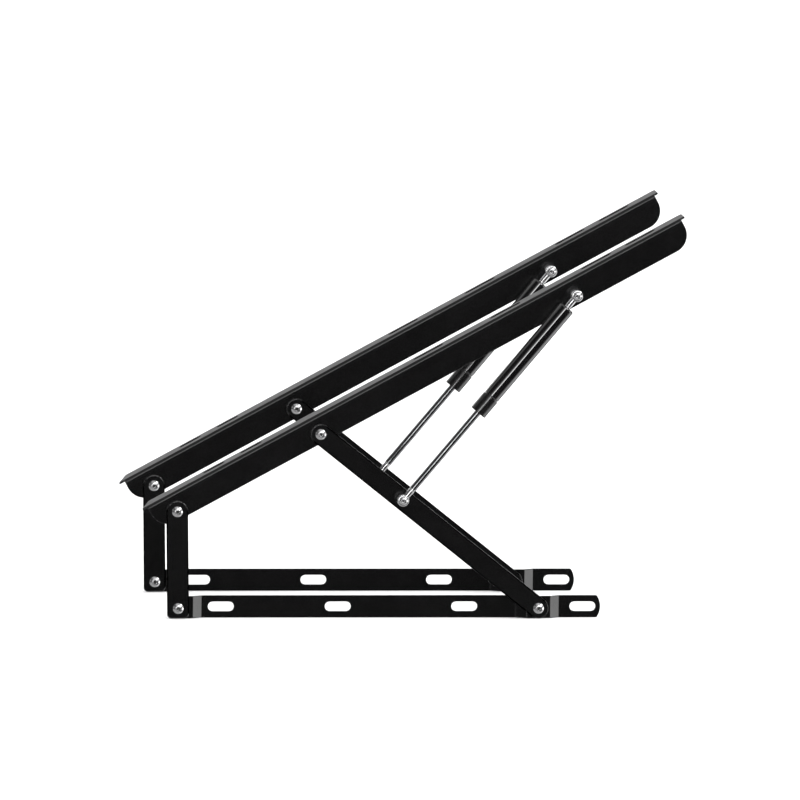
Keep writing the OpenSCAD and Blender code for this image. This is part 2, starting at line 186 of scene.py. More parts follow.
# %% Floor and overhead lamp
FLOOR_HALF = 60.0
FLOOR_COLOUR = (0.88, 0.88, 0.88, 1)
FLOOR_ROUGHNESS = 0.9
FLOOR_SPECULAR = 0.1
OVERHEAD_POWER = 2.6
OVERHEAD_ANGLE = math.radians(50)

floor_square = bpy.data.meshes.new("floor")
floor_corners = FLOOR_HALF * np.array([[-1, -1, 0], [1, -1, 0], [1, 1, 0], [-1, 1, 0]])
floor_square.from_pydata(floor_corners.tolist(), [], [[0, 1, 2, 3]])
floor = put("floor", floor_square)
floor_paint = bpy.data.materials.new("floor_paint")
floor_paint.use_nodes = True
floor_inputs = floor_paint.node_tree.nodes["Principled BSDF"].inputs
floor_inputs["Base Color"].default_value = FLOOR_COLOUR
floor_inputs["Roughness"].default_value = FLOOR_ROUGHNESS
floor_inputs["Specular IOR Level"].default_value = FLOOR_SPECULAR
floor.data.materials.append(floor_paint)
floor.visible_glossy = False

overhead_data = bpy.data.lights.new("overhead", "SUN")
overhead_data.energy = OVERHEAD_POWER
overhead_data.angle = OVERHEAD_ANGLE
overhead = put("overhead", overhead_data)
overhead.visible_glossy = False
print(f"floor {2 * FLOOR_HALF:.0f} m wide")

# %% [markdown]
# ## Studio
# Black gloss shows nothing but what it mirrors, so the surround draws the object. Lamps and white cards could
# stand round it. A sky whose light is worked out from the direction of view alone does the same without any
# object, and its edges lie just where they are wanted: a strip lamp above the camera that lies along the gas
# springs and draws one bright line down tubes and bends, soft boxes for the joggles, the edges of the front
# levers and the other flank of the tubes, a pale wall behind that turns the flanges grey, and a dim room for
# other views. What upright sheet mirrors into the camera stays dark, so that webs and levers stay black. The
# camera itself sees plain white.

# %% Surround helpers
world = bpy.data.worlds.new("surround")
world.use_nodes = True
bpy.context.scene.world = world
sky = world.node_tree
sky.nodes.clear()


def shader_node(tree, kind, inputs=(), **settings):
    """A new node; each input, by name or place, is led to from a socket or set to a number."""
    node = tree.nodes.new("ShaderNode" + kind)
    for name, value in settings.items():
        setattr(node, name, value)
    for key, value in dict(inputs).items():
        if isinstance(value, bpy.types.NodeSocket):
            tree.links.new(value, node.inputs[key])
        else:
            node.inputs[key].default_value = value
    return node


def sky_math(operation, *values):
    """A number of the surround, worked out from sockets and constants."""
    return shader_node(sky, "Math", enumerate(values), operation=operation).outputs[0]


def sky_product(*values):
    """Product of several numbers."""
    result = values[0]
    for value in values[1:]:
        result = sky_math("MULTIPLY", result, value)
    return result


def sky_part(direction):
    """How far a direction of view points along a given one: their dot product."""
    inputs = {0: view_way, 1: direction}
    return shader_node(sky, "VectorMath", inputs, operation="DOT_PRODUCT").outputs["Value"]


def sky_turn(axis):
    """Angle of a direction of view about an axis from the front: atan2 of its parts beside and in front."""
    return sky_math("ARCTAN2", sky_part(np.cross(OUT, axis)), sky_part(OUT))


def sky_step(value, low, high):
    """Smooth step from 0 at low to 1 at high: 3 t^2 - 2 t^3 at the share t of the way between them."""
    inputs = {"Value": value, "From Min": low, "From Max": high}
    return shader_node(sky, "MapRange", inputs, interpolation_type="SMOOTHSTEP").outputs["Result"]


def sky_window(value, start, full, fall, end):
    """Product of a rising and a falling step: 0 up to the start, 1 from full to fall, 0 from the end on."""
    return sky_math("MULTIPLY", sky_step(value, start, full), sky_step(value, end, fall))


view_way = shader_node(sky, "TexCoord").outputs["Generated"]
print("surround helpers ready")

# %% Lamps
# A turn or length of four numbers is a window: its start, where it is full, where it falls and its end. Turns
# are angles about an axis, lengths are parts along it. Two numbers are a smooth step from 0 to 1.
DARK_LEVEL = 0.03
STRIP_LEVEL = 8.5
STRIP_EDGE, STRIP_PEAK, STRIP_FADE = np.radians([6, 10, 6])
STRIP_LENGTH = (-0.4, -0.2, 0.55, 0.8)
FLANK_LEVEL = 1.1
FLANK_TURN = np.radians([-132, -108, -85, -62])
FLANK_LENGTH = (-0.5, -0.2, 0.25, 0.5)
EDGE_LEVEL = 4.5
EDGE_TURN = np.radians([25, 45, 120, 145])
EDGE_LENGTH = (-0.05, 0.08, 0.22, 0.35)
SIDE_LEVEL = 4.0
SIDE_WAY = np.array([0.96, -0.25, -0.1])
SIDE_RIM = np.cos(np.radians([15, 7]))
WALL_LEVEL = 1.3
WALL_BACK = (0.0, 0.7)
WALL_HEIGHT = (0.0, 0.12, 0.2, 0.7)
ROOM_LEVEL = 0.4
ROOM_SLOPE = (0.05, 0.35)
ROOM_OFF_MIRROR = (0.9, 0.7)
SPRING_BAND = (0.4, 0.15)
SPRING_FRONT = (-0.1, 0.2)

_, spring_up = link("near", "gas_low", "gas_top")
along_spring, around_spring = sky_part(spring_up), sky_turn(spring_up)
past_peak = sky_math("SUBTRACT", around_spring, STRIP_PEAK)
strip = sky_product(
    sky_step(around_spring, STRIP_EDGE, STRIP_PEAK),
    sky_math("EXPONENT", sky_math("MULTIPLY", past_peak, -1 / STRIP_FADE)),
    sky_window(along_spring, *STRIP_LENGTH), STRIP_LEVEL,
)
flank_box = sky_product(
    sky_window(around_spring, *FLANK_TURN), sky_window(along_spring, *FLANK_LENGTH), FLANK_LEVEL,
)
_, lever_down = link("near", "front_top", "front_low")
edge_box = sky_product(
    sky_window(sky_turn(lever_down), *EDGE_TURN), sky_window(sky_part(lever_down), *EDGE_LENGTH), EDGE_LEVEL,
)
side_box = sky_product(sky_step(sky_part(unit(SIDE_WAY)), *SIDE_RIM), SIDE_LEVEL)
wall = sky_product(sky_step(sky_part(BACK), *WALL_BACK), sky_window(sky_part(UP), *WALL_HEIGHT), WALL_LEVEL)
mirrored = look - 2 * (look @ OUT) * OUT
spring_view = sky_product(
    sky_step(sky_math("ABSOLUTE", along_spring), *SPRING_BAND), sky_step(sky_part(OUT), *SPRING_FRONT),
)
room = sky_product(
    sky_step(sky_math("ABSOLUTE", sky_part(UP)), *ROOM_SLOPE),
    sky_step(sky_part(mirrored), *ROOM_OFF_MIRROR),
    sky_math("SUBTRACT", 1.0, spring_view), ROOM_LEVEL,
)
studio_level = DARK_LEVEL
for lamp_level in (strip, flank_box, side_box, edge_box, wall, room):
    studio_level = sky_math("ADD", studio_level, lamp_level)
print(f"lamps worked out by {len(sky.nodes)} nodes")

# %% Surround
WHITE = (1, 1, 1, 1)
studio = shader_node(sky, "Background", {"Color": WHITE, "Strength": studio_level})
plain_white = shader_node(sky, "Background", {"Color": WHITE})
from_camera = shader_node(sky, "LightPath").outputs["Is Camera Ray"]
chosen = shader_node(sky, "MixShader", {0: from_camera, 1: studio.outputs[0], 2: plain_white.outputs[0]})
shader_node(sky, "OutputWorld", {"Surface": chosen.outputs[0]})
bpy.context.scene.view_settings.view_transform = "Standard"
print("surround made")

# %% [markdown]
# ## Finishes
# Coated sheet has a fine orange-peel skin and a sheen that varies a little. Its rims are a bit duller, and
# the flanges, which the load rubs, more so. Zinc-plated turned parts show the rings of the lathe, a drawn
# tube under gloss paint shows fine lines along its length, and a ground rod has faint streaks and fine rings.
# Painted pictures could give such patterns. Noise and waves worked out by shader nodes are chosen, because
# they stay sharp at any distance and need no unwrapping. Those of turned pieces read the piece's own
# coordinates, which follow it in every pose.

# %% Finish helpers
TONES_AT = (0.35, 0.65)
NOISE_LOW = 0.3
NOISE_HIGH = 0.7


def grey(level, blue=0.0):
    """A grey colour whose blue part is that much stronger."""
    return (level, level, level + blue)


class Finish:
    """A material built round one Principled shader, with patterns in one set of coordinates."""

    def __init__(self, name, metallic=0.0, ior=1.5, specular=0.5, own=False):
        self.material = bpy.data.materials.new(name)
        self.material.use_nodes = True
        self.tree = self.material.node_tree
        self.shader = self.tree.nodes["Principled BSDF"]
        for socket, value in (("Metallic", metallic), ("IOR", ior), ("Specular IOR Level", specular)):
            self.shader.inputs[socket].default_value = value
        if own:
            self.coordinates = shader_node(self.tree, "Attribute", attribute_name="own").outputs["Vector"]
        else:
            self.coordinates = shader_node(self.tree, "TexCoord").outputs["Object"]
        self.normal = None

    def lead(self, pattern, name, middle):
        """Leads a pattern into an input of the shader, whose own value becomes the pattern's middle."""
        self.shader.inputs[name].default_value = middle
        self.tree.links.new(pattern, self.shader.inputs[name])

    def noise(self, scale, detail=3.0, stretch=(1, 1, 1)):
        """Noise with features of 1 / scale metres, drawn out by the stretch along each axis."""
        inputs = {"Vector": self.coordinates, "Scale": [1 / s for s in stretch]}
        mapped = shader_node(self.tree, "Mapping", inputs).outputs["Vector"]
        inputs = {"Vector": mapped, "Scale": scale, "Detail": detail}
        return shader_node(self.tree, "TexNoise", inputs).outputs["Fac"]

    def rings(self, pitch):
        """Turned rings: the sine of a full turn for each pitch of the run along a profile."""
        run = shader_node(self.tree, "Attribute", attribute_name="run").outputs["Fac"]
        phase = shader_node(self.tree, "Math", {0: run, 1: TAU / pitch}, operation="MULTIPLY").outputs[0]
        return shader_node(self.tree, "Math", {0: phase}, operation="SINE").outputs[0]

    def roughen(self, scale, low, high, **form):
        """Lets the roughness follow a noise: its usual range is mapped evenly to the one from low to high."""
        inputs = {"Value": self.noise(scale, **form), "From Min": NOISE_LOW, "From Max": NOISE_HIGH}
        spread = shader_node(self.tree, "MapRange", {**inputs, "To Min": low, "To Max": high})
        self.lead(spread.outputs["Result"], "Roughness", (low + high) / 2)

    def tint(self, scale, *tones, places=TONES_AT, **form):
        """Lets the base colour follow a noise through tones, each at its place in the noise."""
        ramp = shader_node(self.tree, "ValToRGB", {"Fac": self.noise(scale, **form)})
        marks = ramp.color_ramp.elements
        while len(marks) < len(tones):
            marks.new(1.0)
        for mark, place, tone in zip(marks, places, tones):
            mark.position = place
            mark.color = (*tone, 1)
        self.lead(ramp.outputs["Color"], "Base Color", (*np.mean(tones, 0), 1))

    def relief(self, pattern, height, strength):
        """Raises the surface by a pattern of the given height; later reliefs lie on earlier ones."""
        inputs = {"Height": pattern, "Distance": height, "Strength": strength}
        if self.normal is not None:
            inputs["Normal"] = self.normal
        self.normal = shader_node(self.tree, "Bump", inputs).outputs["Normal"]
        self.tree.links.new(self.normal, self.shader.inputs["Normal"])


print("finish helpers ready")

# %% Black finishes
coat = Finish("black_coat")
coat.tint(14, grey(0.0025, 0.0002), grey(0.0035, 0.0002))
coat.roughen(60, 0.18, 0.22)
coat.relief(coat.noise(850, 2.0), 0.02 * MM, 0.1)
coat.relief(coat.noise(3200, 1.0), 0.006 * MM, 0.1)

rim_coat = Finish("black_coat_rim", specular=0.7)
rim_coat.tint(240, grey(0.004, 0.0002), grey(0.008, 0.0002), places=(0.4, 0.7))
rim_coat.roughen(120, 0.24, 0.3)

flange_coat = Finish("black_coat_flange")
flange_coat.tint(14, grey(0.004, 0.0002), grey(0.006, 0.0002))
flange_coat.roughen(60, 0.46, 0.54)
flange_coat.relief(flange_coat.noise(850, 2.0), 0.02 * MM, 0.2)

gloss = Finish("gloss_paint", ior=1.7, specular=1.0, own=True)
gloss.tint(30, grey(0.0015, 0.0001), grey(0.003, 0.0002))
gloss.roughen(90, 0.05, 0.09, stretch=(1, 1, 12))
gloss.relief(gloss.noise(1500, 2.0, (1, 1, 40)), 0.01 * MM, 0.2)

moulded = Finish("moulded_black", specular=1.0, own=True)
moulded.tint(60, grey(0.004), grey(0.008))
moulded.roughen(200, 0.15, 0.24)
moulded.relief(moulded.noise(2500, 1.0), 0.01 * MM, 0.2)
print("black finishes made")

# %% Metals and hidden materials
zinc = Finish("zinc_plate", metallic=0.95, own=True)
zinc.tint(260, grey(0.61, 0.01), grey(0.68, 0.01), grey(0.74, -0.01), places=(0.3, 0.5, 0.72))
zinc.roughen(300, 0.2, 0.26)
zinc.relief(zinc.rings(0.45 * MM), 0.001 * MM, 0.4)
zinc.relief(zinc.noise(600, 1.0), 0.003 * MM, 0.06)

# A near-black finish for the rivets' dimples: it paints the shade inside the hole.
dimple_shade = Finish("bare_steel", metallic=0.6, own=True)
dimple_shade.tint(800, grey(0.022), grey(0.04, -0.002))
dimple_shade.roughen(1200, 0.42, 0.6)

ground = Finish("ground_rod", metallic=1.0, own=True)
ground.tint(120, grey(0.19, 0.01), grey(0.36, 0.01), detail=2.0, stretch=(1, 1, 6))
ground.roughen(900, 0.12, 0.22, detail=2.0, stretch=(1, 1, 0.3))
ground.relief(ground.rings(0.3 * MM), 0.002 * MM, 0.4)

nylon = Finish("nylon", own=True)
nylon.tint(300, grey(0.014), grey(0.026))
nylon.roughen(500, 0.48, 0.62)

brass = Finish("guide_brass", metallic=1.0)
brass.tint(220, (0.52, 0.37, 0.15), (0.68, 0.50, 0.22))
brass.roughen(700, 0.24, 0.38)

rubber = Finish("seal_rubber")
rubber.tint(400, grey(0.009), grey(0.016))
rubber.roughen(800, 0.55, 0.7)

alloy = Finish("piston_alloy", metallic=1.0)
alloy.tint(220, (0.60, 0.61, 0.62), (0.76, 0.77, 0.78))
alloy.roughen(700, 0.24, 0.38)

ring_plastic = Finish("ring_plastic")
ring_plastic.tint(400, (0.04, 0.036, 0.032), (0.06, 0.054, 0.048))
ring_plastic.roughen(700, 0.34, 0.46)

finish_of_slot = {
    "black_steel": (coat, rim_coat, flange_coat),
    "gloss_black": (gloss,),
    "black_plastic": (moulded,),
    "zinc_steel": (zinc, dimple_shade),
    "rod_steel": (ground,),
    "nylon": (nylon,),
    "guide_brass": (brass,),
    "seal_rubber": (rubber,),
    "piston_alloy": (alloy,),
    "ring_plastic": (ring_plastic,),
}
for node, thing in frame["nodes"].items():
    thing.data.materials.clear()
    thing.data.materials.append(finish_of_slot[slot_of[node]][0].material)
print(f"{len(finish_of_slot)} finishes on {len(frame['nodes'])} nodes")

# %% [markdown]
# ## Making pieces
# A piece is one or more surfaces, each a grid of points with quads between them. Blender's primitives and
# modifiers could build much of this. A grid worked out with numpy is chosen, because it has just the sizes of
# the model and carries its own coordinates for the finishes. Points that fall on each other, at a pole or a
# seam, are merged, so that turned pieces are closed. Each piece stands for one CAD node: it rides on that
# node's body and takes its finish.

# %% Piece helper
MERGE = 1e-7
SHARP = math.radians(35)


def grid_quads(index):
    """Quads between neighbours of an index grid."""
    corners = (index[:-1, :-1], index[1:, :-1], index[1:, 1:], index[:-1, 1:])
    return np.stack(corners, -1).reshape(-1, 4)


def outward(points, quads):
    """Quads of a closed surface, turned round if the tetrahedra under them have a negative sum."""
    a, b, c, d = (points[quads[:, k]] for k in range(4))
    inside = np.einsum("ij,ij->", a, np.cross(b, c) + np.cross(c, d))
    return quads if inside > 0 else quads[:, ::-1]


def piece_for(node, name, surfaces):
    """Makes one object of surfaces (points, quads, own, run) and lets it stand for a CAD node."""
    points, quads, own, run = zip(*surfaces)
    starts = np.cumsum([0] + [len(part) for part in points])
    quads = [part + start for part, start in zip(quads, starts)]
    mesh = bpy.data.meshes.new(name)
    mesh.from_pydata(np.concatenate(points).tolist(), [], np.concatenate(quads).tolist())
    for key, kind, field, rows in (("own", "FLOAT_VECTOR", "vector", own), ("run", "FLOAT", "value", run)):
        attribute = mesh.attributes.new(key, kind, "POINT")
        attribute.data.foreach_set(field, np.concatenate(rows).ravel())
    cleaner = bmesh.new()
    cleaner.from_mesh(mesh)
    bmesh.ops.remove_doubles(cleaner, verts=cleaner.verts, dist=MERGE)
    bmesh.ops.dissolve_degenerate(cleaner, edges=cleaner.edges, dist=MERGE)
    cleaner.to_mesh(mesh)
    cleaner.free()
    mesh.shade_smooth()
    mesh.set_sharp_from_angle(angle=SHARP)
    for finish in finish_of_slot[slot_of[node]]:
        mesh.materials.append(finish.material)
    piece = put(name, mesh)
    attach(piece, body_of[node])
    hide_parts(node)
    return piece


print("piece helper ready")

# %% [markdown]
# ## Turned parts
# Rivets, pins, spacers, washers and the gas spring are round, so a half profile turned about an axis gives
# each of them. The Screw modifier could turn it. Here the turn is worked out, because the finishes read each
# point's run along its profile. A profile is a list of corners with a radius each: real turned or pressed
# edges are never sharp, and the small arcs catch the light.

# %% Lathe
ARC_STEPS = 7
AROUND = 64
STEEP = 0.9


def rounded(corners):
    """A line through corner rows (r, s, radius) with a true arc at each corner.

    With d the direction into a corner, n its normal towards the turn and a the angle turned so far, the arc
    is start + radius (d sin a + n (1 - cos a)); it starts radius tan(turn / 2) before the corner.
    """
    corners = np.array(corners, float)
    place, radius = corners[:, :2], corners[:, 2]
    into = unit(place - np.roll(place, 1, 0))
    onward = unit(np.roll(place, -1, 0) - place)
    cosine = np.clip((into * onward).sum(1), -1, 1)
    turn = np.where(radius > 0, np.arccos(cosine), 0)
    normal = unit(onward - cosine[:, None] * into)
    start = place - into * (radius * np.tan(turn / 2))[:, None]
    sweep = turn[:, None] * np.linspace(0, 1, ARC_STEPS)
    ahead = np.sin(sweep)[..., None] * into[:, None]
    aside = (1 - np.cos(sweep))[..., None] * normal[:, None]
    return (start[:, None] + radius[:, None, None] * (ahead + aside)).reshape(-1, 2)


def lathe(profile, centre, axis, closed=False):
    """Turned surface: the point at angle t is centre + s axis + r (cos t, sin t) square to the axis.

    A closed profile joins its last point to its first, for rings. The quads face outwards.
    """
    r, s = np.array(profile).T
    angle = np.linspace(0, TAU, AROUND + 1)[:, None]
    own = np.stack(np.broadcast_arrays(r * np.cos(angle), r * np.sin(angle), s), -1)
    run = np.concatenate([[0], np.cumsum(np.hypot(np.diff(r), np.diff(s)))])
    run = np.broadcast_to(run, own.shape[:2])
    if closed:
        own = np.concatenate([own, own[:, :1]], 1)
        run = np.concatenate([run, run[:, -1:]], 1)
    side = unit(np.cross(axis, UP if abs(axis[2]) < STEEP else OUT))
    points = centre + own.reshape(-1, 3) @ np.array([side, np.cross(axis, side), axis])
    quads = grid_quads(np.arange(len(points)).reshape(own.shape[:2]))
    return points, outward(points - centre, quads), own.reshape(-1, 3), run.reshape(-1)


print("lathe ready")

# %% [markdown]
# ## Rivets and pins
# A pivot rivet is closed by a spinning tool that leaves a dome with fine rings and a drilled dimple in its
# middle. The dimple gets a near-black material: painted shade of the hole. On the other side of the rail sits its
# closed end. Pins have a smaller head of the same form and a threaded end for a nut. Rings and ridges could
# be left to a bump pattern, but as part of the profile they are there in the mesh too.

# %% Heads and closed ends
RAIL_T = 3 * MM
SLIDE_GAP = 0.2 * MM
RIVET_R = 5 * MM
RIVET_HEAD = (7.7 * MM, 3.6 * MM)
RIVET_TAIL = (7.2 * MM, 2.6 * MM)
PIN_R = 4 * MM
PIN_HEAD = (6 * MM, 2.8 * MM)
HEAD_RIM = 0.7 * MM
HEAD_BREAK = 0.15 * MM
DIMPLE_R = 2.5 * MM
DIMPLE_DEPTH = 2 * MM
DIMPLE_TAPER = 0.9
DIMPLE_LIP = 0.25 * MM
LIP_DROP = 0.1 * MM
DOME_STEPS = 36
SPUN_PITCH = 0.9 * MM
SPUN_DEPTH = 0.008 * MM


def dome(radius, height, start=0.0):
    """Rows (r, s, 0) of a domed head above its seat, from r = start outwards.

    The dome is a ball of radius R = (r^2 + c^2) / 2c cut off at its crown height c above the straight rim,
    with a fine wave for the rings left by spinning.
    """
    crown = height - HEAD_RIM
    ball = (radius ** 2 + crown ** 2) / (2 * crown)
    r = np.linspace(start, radius, DOME_STEPS)
    s = height - ball + np.sqrt(ball ** 2 - r ** 2)
    spun = SPUN_DEPTH * np.sin(TAU * (r - start) / SPUN_PITCH) * (r < radius)
    return np.column_stack([r, s + spun, np.zeros_like(r)])


def head_rows(head, seat):
    """Profile rows of a dimpled head: the dimple's floor and wall, the dome and the edge of its seat."""
    radius, height = head
    cap = dome(radius, height, DIMPLE_R + DIMPLE_LIP)
    dimple_floor = height - DIMPLE_DEPTH
    dimple = np.array([
        (0, dimple_floor, 0),
        (DIMPLE_TAPER * DIMPLE_R, dimple_floor, HEAD_BREAK),
        (DIMPLE_R, cap[0, 1] - LIP_DROP, HEAD_BREAK),
    ])
    rows = np.concatenate([dimple, cap, [(radius, 0, HEAD_BREAK)]])
    rows[:, 1] += seat
    return rows


def tail_rows(tail, seat):
    """Profile rows of a closed rivet end behind the rail, from the edge of its seat to its middle."""
    rows = dome(*tail)[::-1]
    rows = np.concatenate([[(tail[0], 0, HEAD_BREAK)], rows])
    rows[:, 1] = seat - rows[:, 1]
    return rows


print(f"rivet heads {2 * RIVET_HEAD[0] / MM:.1f} mm wide, pin heads {2 * PIN_HEAD[0] / MM:.1f} mm")

# %% Shanks and threads
THREAD_PITCH = 1.0 * MM
THREAD_DEPTH = 0.35 * MM
THREAD_BREAK = 0.05 * MM
THREAD_TIP = 0.3 * MM


def shank(radius, start, end):
    """Profile rows of a plain shank from one depth to another."""
    return np.array([(radius, start, 0), (radius, end, 0)])


def threaded(radius, start, end):
    """Profile rows of a threaded end: crest and root in turn, half a pitch apart, and a chamfered tip."""
    s = np.arange(start, end, -THREAD_PITCH / 2)[:-1]
    r = radius - THREAD_DEPTH * (np.arange(len(s)) % 2)
    ridges = np.column_stack([r, s, np.full(len(s), THREAD_BREAK)])
    root = radius - THREAD_DEPTH
    tip = np.array([(root, end + THREAD_TIP, 0), (root - THREAD_DEPTH, end, 0), (0, end, 0)])
    return np.concatenate([ridges, tip])


def turned(rows, point):
    """Turned surface about the line through a point towards the viewer."""
    return lathe(rounded(np.concatenate(rows)), point, OUT)


print(f"threads with a pitch of {THREAD_PITCH / MM:.1f} mm")

# %% Turn rivets and pins
# Faces within this share of the dimple's radius get the painted shade.
DIMPLE_SHADE_SHARE = 0.97


def headed(node, name, surfaces):
    """A piece with dimpled heads: faces in front of the levers and within the dimple's radius get painted shade.
    """
    piece = piece_for(node, name, surfaces)
    mesh = piece.data
    own = read_rows(mesh.attributes["own"].data, "vector", 3)
    inside = np.hypot(own[:, 0], own[:, 1]) < DIMPLE_SHADE_SHARE * DIMPLE_R
    inside &= own[:, 2] > rivet_seat + SLIDE_GAP
    corner_of = read_rows(mesh.loops, "vertex_index", 1, np.int32).ravel()
    first = read_rows(mesh.polygons, "loop_start", 1, np.int32).ravel()
    in_dimple = np.logical_and.reduceat(inside[corner_of], first)
    # Dimple faces take the slot's second finish, the painted shade of the hole.
    mesh.polygons.foreach_set("material_index", in_dimple.astype(np.int32))
    return piece


rivet_seat = LEVER_FRONT + SLIDE_GAP
pin_seat = EYE_FRONT + SLIDE_GAP
rivet_head = head_rows(RIVET_HEAD, rivet_seat)
rivet_tail = tail_rows(RIVET_TAIL, -RAIL_T)
pin_head = head_rows(PIN_HEAD, pin_seat)
rivet_whole = [rivet_head, shank(RIVET_R, rivet_seat, -RAIL_T), rivet_tail]
rivet_front = [rivet_head, shank(RIVET_R, rivet_seat, LEVER_BACK), [(0, LEVER_BACK, 0)]]
rivet_rear = [[(0, WASHER_T, 0)], shank(RIVET_R, WASHER_T, -RAIL_T), rivet_tail]
pin_front = [pin_head, shank(PIN_R, pin_seat, rivet_seat), [(0, rivet_seat, 0)]]
for side, spot in at.items():
    top_thread = threaded(PIN_R, -RAIL_T, layers("gas_top_pin", side)[0])
    low_thread = threaded(PIN_R, LEVER_BACK, layers("gas_low_pin_end", side)[0])
    pin_whole = [pin_head, shank(PIN_R, pin_seat, -RAIL_T), top_thread]
    pin_rear = [[(0, LEVER_FRONT, 0)], shank(PIN_R, LEVER_FRONT, LEVER_BACK), low_thread]
    for make, node, name, rows, points in (
        (headed, "lower_rivets", "lower_rivets_spun", rivet_whole, ("rear_low", "front_low")),
        (headed, "front_top_rivet", "front_rivet_spun", rivet_whole, ("front_top",)),
        (headed, "rear_top_rivet", "rear_rivet_spun", rivet_front, ("rear_top",)),
        (piece_for, "rear_top_rivet_end", "rear_rivet_end", rivet_rear, ("rear_top",)),
        (piece_for, "gas_top_pin", "upper_pin", pin_whole, ("gas_top",)),
        (piece_for, "gas_low_pin", "lower_pin", pin_front, ("gas_low",)),
        (piece_for, "gas_low_pin_end", "lower_pin_end", pin_rear, ("gas_low",)),
    ):
        make(f"{side}_{node}", f"{side}_{name}", [turned(rows, spot[point]) for point in points])
print("rivets and pins turned")

# %% [markdown]
# ## Nuts, spacers and washers
# A nut is a turned ring whose outer rows are drawn out to a hexagon, and its corners are cut back by the
# usual 30 degree chamfer. A prism cut by a cone with a Boolean would give the same form; the formula leaves
# no cut faces to clean up. Spacers and washers are plain rings with broken edges.

# %% Nuts, spacers and washers
NUT_FLATS = 13 * MM
NUT_H = 5 * MM
NUT_FACE = 0.475 * NUT_FLATS
NUT_MOUTH = 0.5 * MM
NUT_CHAMFER = math.radians(30)
NUT_AROUND = 3 * AROUND
BORE_CLEAR = 0.02 * MM
PIN_FIT = PIN_R + BORE_CLEAR
RIVET_FIT = RIVET_R + BORE_CLEAR
SPACER_R = 7 * MM
WASHER_R = 10 * MM
RING_BREAK = 0.25 * MM
WASHERS_AT = {"lower": ("rear_low", "front_low"), "top": ("rear_top", "front_top")}


def nut_surface(point, base, turn):
    """Hexagon nut standing on a depth and reaching back by its height.

    The radius of the hexagon is f / (2 cos b), b being the angle from the nearest flat. Where it passes the
    chamfer's circle, the top and bottom edges drop by tan 30 of the excess.
    """
    angle = np.linspace(0, TAU, NUT_AROUND + 1)
    off_flat = (angle + turn) % (TAU / 6) - TAU / 12
    hexagon = NUT_FLATS / 2 / np.cos(off_flat)
    drop = math.tan(NUT_CHAMFER) * (hexagon - NUT_FACE)
    mouth = PIN_FIT + NUT_MOUTH
    r = np.stack(np.broadcast_arrays(
        PIN_FIT, mouth, NUT_FACE, hexagon, hexagon, NUT_FACE, mouth, PIN_FIT, PIN_FIT), 1)
    s = -np.stack(np.broadcast_arrays(
        NUT_MOUTH, 0, 0, drop, NUT_H - drop, NUT_H, NUT_H, NUT_H - NUT_MOUTH, NUT_MOUTH), 1)
    own = np.stack([r * np.cos(angle)[:, None], r * np.sin(angle)[:, None], s + base], -1).reshape(-1, 3)
    points = point + own @ np.array([[1, 0, 0], [0, 0, 1], OUT])
    quads = grid_quads(np.arange(len(points)).reshape(r.shape))
    return points, outward(points - point, quads), own, own[:, 2]


def ring_at(point, inner, outer, low, high):
    """Plain ring about the line through a point towards the viewer, with its four edges broken."""
    corners = [(inner, low), (outer, low), (outer, high), (inner, high)]
    return lathe(rounded([(*place, RING_BREAK) for place in corners]), point, OUT, closed=True)


for side, spot in at.items():
    for end, name, seat, line in (
        ("gas_top", "upper", -RAIL_T, spot["front_top"] - spot["rear_top"]),
        ("gas_low", "lower", LEVER_BACK, spot["front_low"] - spot["front_top"]),
    ):
        nut = nut_surface(spot[end], seat, -math.atan2(line[2], line[0]))
        piece_for(f"{side}_{end}_nut", f"{side}_{name}_nut", [nut])
        spacer = ring_at(spot[end], PIN_FIT, SPACER_R, *layers(f"{end}_spacer", side))
        piece_for(f"{side}_{end}_spacer", f"{side}_{name}_spacer", [spacer])
    for rail, ends in WASHERS_AT.items():
        washers = [ring_at(spot[end], RIVET_FIT, WASHER_R, 0, WASHER_T) for end in ends]
        piece_for(f"{side}_{rail}_washers", f"{side}_{rail}_washers_pressed", washers)
print("nuts, spacers and washers made")

# %% [markdown]
# ## Gas spring
# A drawn tube with a rounded closed end, a groove rolled in above the end sleeve, a ground rod and an eye
# with a turned neck on each end. Cylinders with bevelled edges would do for a rough model; a profile on the
# lathe also gives the groove, the lip of the sleeve and the necks. Distances run along the spring from its
# upper pin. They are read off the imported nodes, so that the pieces follow any change of the model.

# %% Eyes
EYE_R = 8.8 * MM
EYE_EDGE = 2.4 * MM
EYE_BREAK = 0.5 * MM
RUN_CLEAR = 0.05 * MM
NECK_R = 4.8 * MM
NECK_START = 5 * MM
NECK_BREAK = 0.3 * MM
NECK_EDGE = 0.4 * MM
GROOVE_BACK = 2.6 * MM
GROOVE_W = 0.7 * MM
GROOVE_SLOPE = 0.5 * MM
GROOVE_DEPTH = 0.4 * MM


def eye_surfaces(centre, axis, reach):
    """Eye ring with well rounded edges about the pin, and its neck along the spring.

    The neck has a shallow groove before its end.
    """
    eye_bore = PIN_R + RUN_CLEAR
    ring = rounded([
        (eye_bore, EYE_BACK, EYE_BREAK), (EYE_R, EYE_BACK, EYE_EDGE),
        (EYE_R, EYE_FRONT, EYE_EDGE), (eye_bore, EYE_FRONT, EYE_BREAK),
    ])
    groove = reach - GROOVE_BACK
    root = NECK_R - GROOVE_DEPTH
    neck = rounded([
        (0, NECK_START, 0), (NECK_R, NECK_START, 0),
        (NECK_R, groove - GROOVE_SLOPE, NECK_BREAK), (root, groove, NECK_BREAK),
        (root, groove + GROOVE_W, NECK_BREAK), (NECK_R, groove + GROOVE_W + GROOVE_SLOPE, NECK_BREAK),
        (NECK_R, reach, NECK_EDGE), (0, reach, 0),
    ])
    return [lathe(ring, centre, OUT, closed=True), lathe(neck, centre + GAS_LAYER * OUT, axis)]


print(f"eyes {2 * EYE_R / MM:.1f} mm wide")

